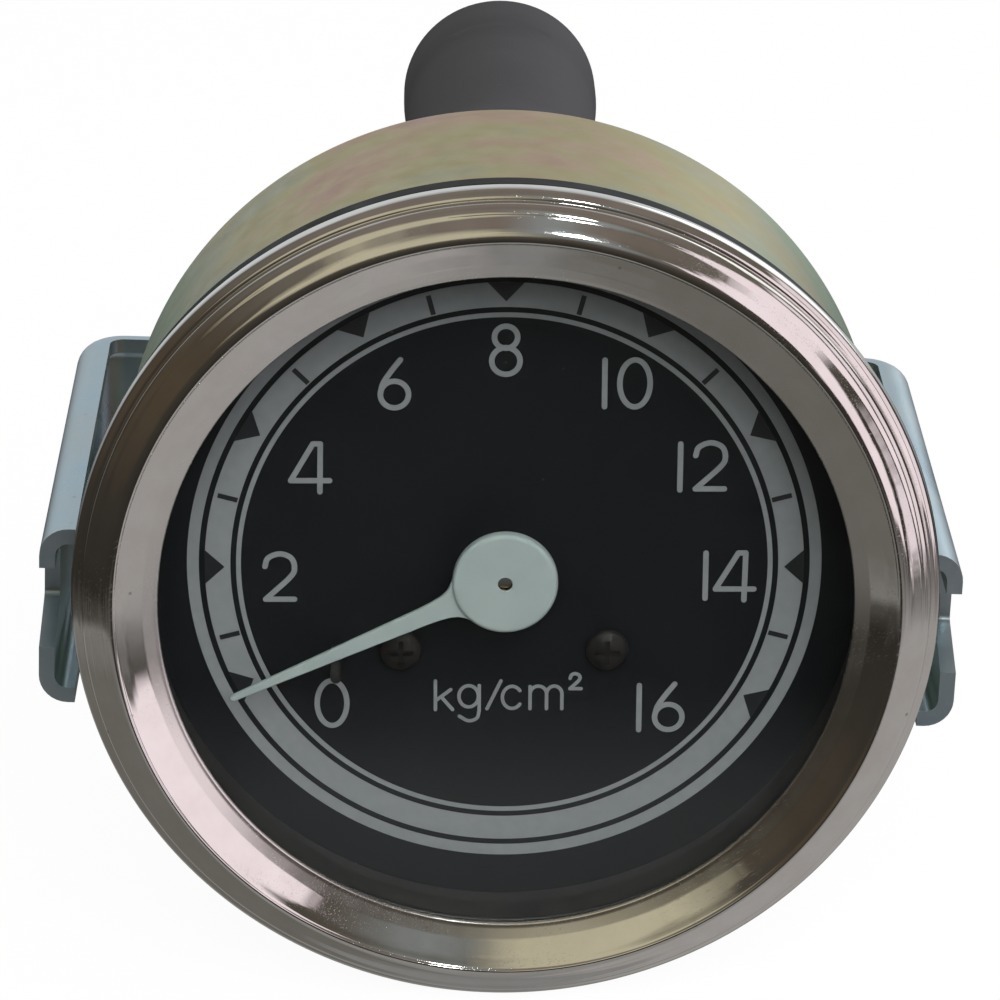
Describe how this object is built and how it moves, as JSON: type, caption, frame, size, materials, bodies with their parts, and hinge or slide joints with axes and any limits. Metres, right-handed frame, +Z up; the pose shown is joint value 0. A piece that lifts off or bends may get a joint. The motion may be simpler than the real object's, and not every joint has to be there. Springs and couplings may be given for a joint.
{
  "type": "pressure gauge",
  "caption": "Round panel-mount pressure gauge with Bourdon-tube movement, sector and pinion, lamp holder at the back and a U-shaped clamp bracket.",
  "frame": {"origin": "on the gauge's axis, in the plane of the gasket's rear face, where it meets the panel", "axes": "+Y along the axis from the dial to the rear, so the dial faces -Y; +Z up, towards twelve o'clock on the dial; +X to the reader's right"},
  "size_m": [0.0703, 0.0708, 0.065],
  "materials": {
    "case": "yellow chromate over zinc, satin",
    "bezel": "polished plating",
    "window": "clear",
    "rubber": "matte black",
    "spacer": "dark satin",
    "dial": "matte black paint with grey printing",
    "dial_screws": "blackened",
    "brass": "machined",
    "tube": "drawn phosphor bronze",
    "steel": "machined",
    "zinc": "bright zinc plate, slightly blue",
    "pointer": "satin paint, pale green-grey",
    "boot": "matte moulded rubber",
    "black_plastic": "moulded",
    "bulb": "clear"
  },
  "bodies": {
    "case_body": {"case_cup": "case", "bezel_ring": "bezel", "glass": "window", "glass_seal": "rubber", "spacer_ring": "spacer", "dial": "dial", "panel_gasket": "rubber", "dial_screw_left": "dial_screws", "dial_screw_right": "dial_screws", "dial_stop_pin": "dial_screws", "dial_post_left": "brass", "dial_post_right": "brass", "front_plate": "brass", "back_plate": "brass", "pillar_1": "brass", "pillar_2": "brass", "pillar_3": "brass", "pillar_screw_1": "steel", "pillar_screw_2": "steel", "pillar_screw_3": "steel", "movement_screw_1": "steel", "movement_screw_2": "steel", "hairspring": "brass", "hairspring_stud": "steel", "stop_pin_low": "steel", "stop_pin_high": "steel", "socket": "brass", "stem_washer": "rubber", "case_screw_left": "steel", "case_screw_right": "steel", "lamp_sleeve": "black_plastic"},
    "tube_body": {"bourdon_tube": "tube", "tube_tip": "brass", "tip_pin": "steel"},
    "link_body": {"link": "brass"},
    "sector_body": {"sector_gear": "brass", "sector_shaft": "steel", "tail_pin": "steel"},
    "spindle_body": {"pinion_spindle": "steel", "hairspring_collet": "brass", "pointer": "pointer", "pointer_bush": "brass"},
    "lamp_body": {"lamp_holder": "steel", "bulb_cap": "brass", "bulb_glass": "bulb", "lamp_contact": "brass", "lamp_boot": "boot"},
    "bracket_body": {"bracket": "zinc", "bracket_washer": "zinc"},
    "nut_body": {"bracket_nut": "zinc"}
  },
  "joints": [
    {"name": "sector_hinge", "type": "hinge", "parent": "case_body", "child": "sector_body", "pos_m": [0.00598, 0, -0.01097], "axis": [0, 1, 0], "range_deg": [-26.6, 0]},
    {"name": "pointer_spin", "type": "hinge", "parent": "case_body", "child": "spindle_body", "pos_m": [0, 0, 0], "axis": [0, 1, 0], "range_deg": [-0.1, 239.5]},
    {"name": "tube_flex", "type": "hinge", "parent": "case_body", "child": "tube_body", "pos_m": [-0.00656, 0, -0.01623], "axis": [0, 1, 0], "range_deg": [-8.4, 0.1]},
    {"name": "link_pivot", "type": "hinge", "parent": "tube_body", "child": "link_body", "pos_m": [0.013, 0, -0.0066], "axis": [0, 1, 0], "range_deg": [-8.6, 0.1]},
    {"name": "bracket_slide", "type": "slide", "parent": "case_body", "child": "bracket_body", "axis": [0, 1, 0], "range_m": [-0.0015, 0.006]},
    {"name": "nut_spin", "type": "hinge", "parent": "bracket_body", "child": "nut_body", "pos_m": [0, 0.0503, -0.0045], "axis": [0, 1, 0], "range_deg": [-361, 1441]},
    {"name": "lamp_pull", "type": "slide", "parent": "case_body", "child": "lamp_body", "axis": [0, 1, 0], "range_m": [0, 0.026]}
  ],
  "couplings": [
    {"joint": "pointer_spin", "follows": "sector_hinge", "ratio": -9},
    {"joint": "tube_flex", "follows": "sector_hinge", "ratio": 0.3105},
    {"joint": "link_pivot", "follows": "sector_hinge", "ratio": 0.316},
    {"joint": "nut_spin", "follows": "bracket_slide", "rad_per_m": 4188.8}
  ]
}
